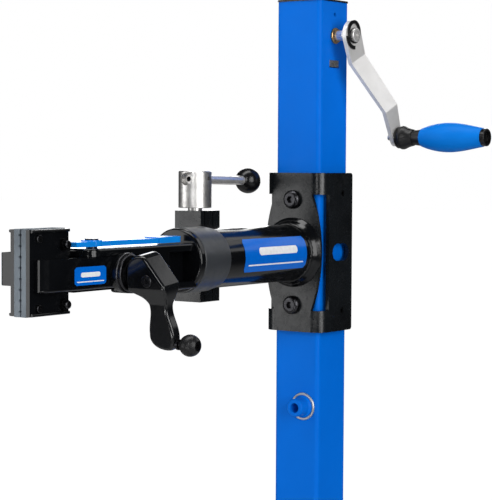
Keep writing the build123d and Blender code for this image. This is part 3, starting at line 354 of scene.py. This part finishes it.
def bar_label(u, v, lift):
    """Lays the label's u, v on the outer face of the near jaw's bar."""
    return (BAR_FACE_X + LABEL_GAP + lift, BAR_LABEL_Y + u, BAR_LABEL_Z + v)


def striped_label(name, place, width, height, stripes, body):
    """Blue label with plain white stripes: each stripe is (u, v, width, height)."""
    label_sheet(name, width, height, place, LABEL_CORNER, body, "label_blue")
    for i, (u0, v0, wide, tall) in enumerate(stripes):
        label_sheet(f"{name}_stripe_{i + 1}", wide, tall,
                    lambda u, v, lift: place(u0 + u, v0 + v, LABEL_THICK + lift * 0.5),
                    tall * 0.3, body, "label_white", rows=4)


def arm_label(u, v, lift):
    """Wraps the label's u, v round the arm's +X side."""
    angle = ARM_LABEL_ANGLE + v / TUBE_R
    r = TUBE_R + LABEL_GAP + lift
    return (r * math.cos(angle), ARM_LABEL_Y + u, ARM_Z + r * math.sin(angle))


striped_label("arm_label", arm_label, 0.126, 0.0396,
              [(0.004, 0.004, 0.078, 0.009), (0.0, -0.0115, 0.112, 0.0016)], "carriage")
striped_label("bar_label", bar_label, 0.049, 0.0186,
              [(0.0, 0.0012, 0.030, 0.0048), (0.0, -0.0058, 0.042, 0.001)], "near_jaw")
# The tray boss's weld bead is drawn in pale bare steel; that pale colour is a painted highlight, as the real
# weld is painted blue and only its glints are pale.
boss_low, boss_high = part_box("tray_boss")
boss_middle = [(a + b) / 2 for a, b in zip(boss_low, boss_high)]
weld_bead("tray_boss_weld", (boss_middle[0], boss_high[1] - 0.0002, boss_middle[2]),
          (boss_high[0] - boss_low[0]) / 2, 0.0022, 0.0004, "stand", "weld")
collar_low, collar_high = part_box("arm_weld_collar")
weld_bead("arm_tube_weld", (0, collar_low[1], ARM_Z), TUBE_R, 0.0026, 0.0004, "carriage",
          "black_paint")

# ---- camera -------------------------------------------------------------------------------
def place_camera():
    """The photograph's view: a long lens a little above the arm, turned 35 degrees from +Y."""
    data = bpy.data.cameras.new("camera")
    data.lens = CAMERA_LENS
    data.sensor_width = 36.0
    camera = bpy.data.objects.new("camera", data)
    bpy.context.scene.collection.objects.link(camera)
    turn = Matrix.Rotation(CAMERA_HEADING, 4, "Z") @ Matrix.Rotation(math.pi / 2 + CAMERA_PITCH, 4, "X")
    turn = turn @ Matrix.Rotation(CAMERA_ROLL, 4, "Z")
    camera.matrix_world = Matrix.Translation(CAMERA_PLACE) @ turn
    bpy.context.scene.camera = camera


def softbox(name, place, target, wide, tall, power, colour=(1, 1, 1)):
    data = bpy.data.lights.new(name, "AREA")
    data.shape = "RECTANGLE"
    data.size = wide
    data.size_y = tall
    data.energy = power
    data.color = colour
    light = bpy.data.objects.new(name, data)
    light.location = place
    light.visible_camera = False
    light.rotation_euler = (Vector(target) - Vector(place)).to_track_quat("-Z", "Y").to_euler()
    bpy.context.scene.collection.objects.link(light)


def studio():
    """White surroundings for the eye, dim ones for reflections, and a few large soft boxes."""
    world = bpy.data.worlds.new("studio")
    bpy.context.scene.world = world
    world.use_nodes = True
    tree = world.node_tree
    background = tree.nodes["Background"]
    path = tree.nodes.new("ShaderNodeLightPath")
    seen = two_colours(tree, path.outputs["Is Camera Ray"], (0.03, 0.032, 0.035), (1.0, 1.0, 1.0))
    tree.links.new(seen, background.inputs["Color"])
    middle = (0, -0.15, 1.28)
    softbox("front_left_box", (-2.0, -2.3, 1.75), middle, 1.3, 2.4, 30)
    softbox("right_box", (2.8, -1.0, 1.9), middle, 1.3, 2.4, 60)
    softbox("top_box", (-0.2, -0.5, 3.4), middle, 0.8, 2.6, 42)
    softbox("strip_box", (0.85, -2.3, 1.9), middle, 0.25, 1.3, 12)
    softbox("edge_strip", (2.3, -1.75, 1.7), middle, 0.14, 1.6, 12)
    softbox("low_strip", (0.2, -2.4, 0.55), middle, 1.6, 0.12, 8)
    softbox("rear_left_box", (-1.4, 2.2, 2.0), middle, 1.6, 1.6, 30)
    softbox("rear_right_box", (1.7, 2.8, 3.1), middle, 3.0, 2.0, 22)
    floor_mesh = bpy.data.meshes.new("floor")
    corners = [(x * FLOOR_HALF, y * FLOOR_HALF, 0) for x, y in ((-1, -1), (1, -1), (1, 1), (-1, 1))]
    floor_mesh.from_pydata(corners, [], [(0, 1, 2, 3)])
    floor = bpy.data.objects.new("floor", floor_mesh)
    bpy.context.scene.collection.objects.link(floor)
    dress(floor, pale_floor())
    bpy.context.scene.view_settings.view_transform = "Standard"


place_camera()
studio()
